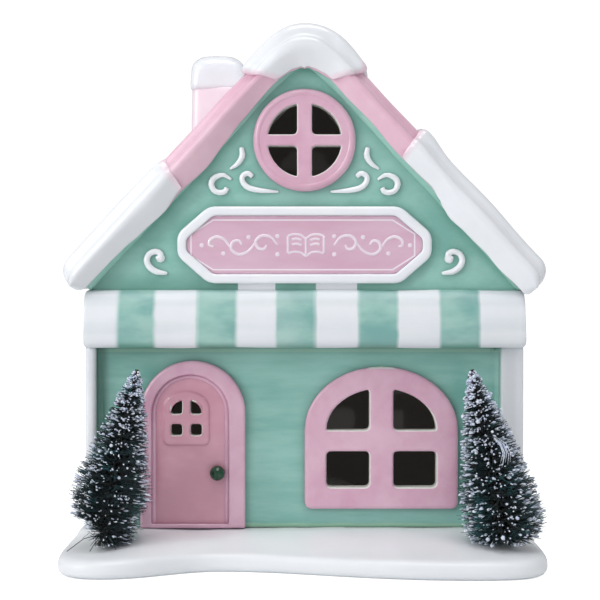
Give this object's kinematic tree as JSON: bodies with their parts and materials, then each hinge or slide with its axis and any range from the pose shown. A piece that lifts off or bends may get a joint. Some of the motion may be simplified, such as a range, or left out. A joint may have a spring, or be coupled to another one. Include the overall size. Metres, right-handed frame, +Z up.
{
  "type": "light-up village shop",
  "caption": "Ceramic light-up village shop with a snowy gabled roof, striped awning, arched window and bottle-brush trees, lit by a battery light unit in its base.",
  "frame": {"origin": "bottom of the base slab, under the middle of the whole object's box", "axes": "+X to the right as seen from the street, -Y out of the shop front, +Z up"},
  "size_m": [0.2154, 0.1756, 0.2388],
  "materials": {
    "snow_glaze": "white gloss glaze",
    "mint_glaze": "mint green gloss glaze",
    "pink_glaze": "mauve pink gloss glaze",
    "door_glaze": "deeper pink gloss glaze",
    "roof_glaze": "light pink gloss glaze",
    "knob_glaze": "dark green gloss glaze",
    "twisted_wire": "twisted steel wire, partly painted green",
    "bristle_fibre": "dark green fibre with white snow on the tips",
    "white_plastic": "white moulded plastic",
    "foam": "dark foam",
    "plated_steel": "nickel-plated steel",
    "cell": "plain metal jacket",
    "board": "green laminate",
    "lamp_plastic": "clear warm lens",
    "frosted_plastic": "frosted translucent plastic",
    "black_plastic": "black moulded plastic"
  },
  "bodies": {
    "house": {"base_slab": "snow_glaze", "shopfront_wall": "mint_glaze", "gable_front": "mint_glaze", "side_wall_left": "mint_glaze", "side_wall_right": "mint_glaze", "back_wall": "mint_glaze", "corner_post_left": "snow_glaze", "corner_post_right": "snow_glaze", "awning": "snow_glaze", "sign_border": "snow_glaze", "sign_panel": "pink_glaze", "round_window_frame": "pink_glaze", "arched_window_frame": "pink_glaze", "door_frame": "pink_glaze", "door_leaf": "door_glaze", "door_knob": "knob_glaze", "roof_shell": "roof_glaze", "snow_peak": "snow_glaze", "snow_left": "snow_glaze", "snow_right": "snow_glaze", "chimney_stack": "roof_glaze", "chimney_snow_cap": "snow_glaze", "scroll_comma_left": "snow_glaze", "scroll_comma_right": "snow_glaze", "scroll_c_left": "snow_glaze", "scroll_c_right": "snow_glaze", "scroll_hook_left": "snow_glaze", "scroll_hook_right": "snow_glaze", "scroll_spiral_left": "snow_glaze", "scroll_spiral_right": "snow_glaze", "tree_left_trunk": "twisted_wire", "tree_left_bristles": "bristle_fibre", "tree_right_trunk": "twisted_wire", "tree_right_bristles": "bristle_fibre"},
    "light_unit": {"lamp_housing": "white_plastic", "gasket_ring": "foam", "battery_1": "cell", "battery_2": "cell", "battery_3": "cell", "contact_plus": "plated_steel", "contact_bridge_rear": "plated_steel", "contact_bridge_front": "plated_steel", "contact_minus": "plated_steel", "circuit_board": "board", "led_lamp": "lamp_plastic", "diffuser_dome": "frosted_plastic", "switch_body": "black_plastic"},
    "battery_door": {"battery_door": "white_plastic"},
    "door_screw": {"door_screw": "plated_steel"},
    "switch_slider": {"switch_slider": "black_plastic"}
  },
  "joints": [
    {"name": "light_unit_pull", "type": "slide", "parent": "house", "child": "light_unit", "axis": [0, 0, -1], "range_m": [0, 0.05]},
    {"name": "battery_door_lift", "type": "slide", "parent": "light_unit", "child": "battery_door", "axis": [0, 0, -1], "range_m": [0, 0.03]},
    {"name": "door_screw_turn", "type": "hinge", "parent": "battery_door", "child": "door_screw", "pos_m": [0, -0.00505, 0.003], "axis": [0, 0, 1], "continuous": true},
    {"name": "switch_slide", "type": "slide", "parent": "light_unit", "child": "switch_slider", "axis": [1, 0, 0], "range_m": [0, 0.003]}
  ]
}
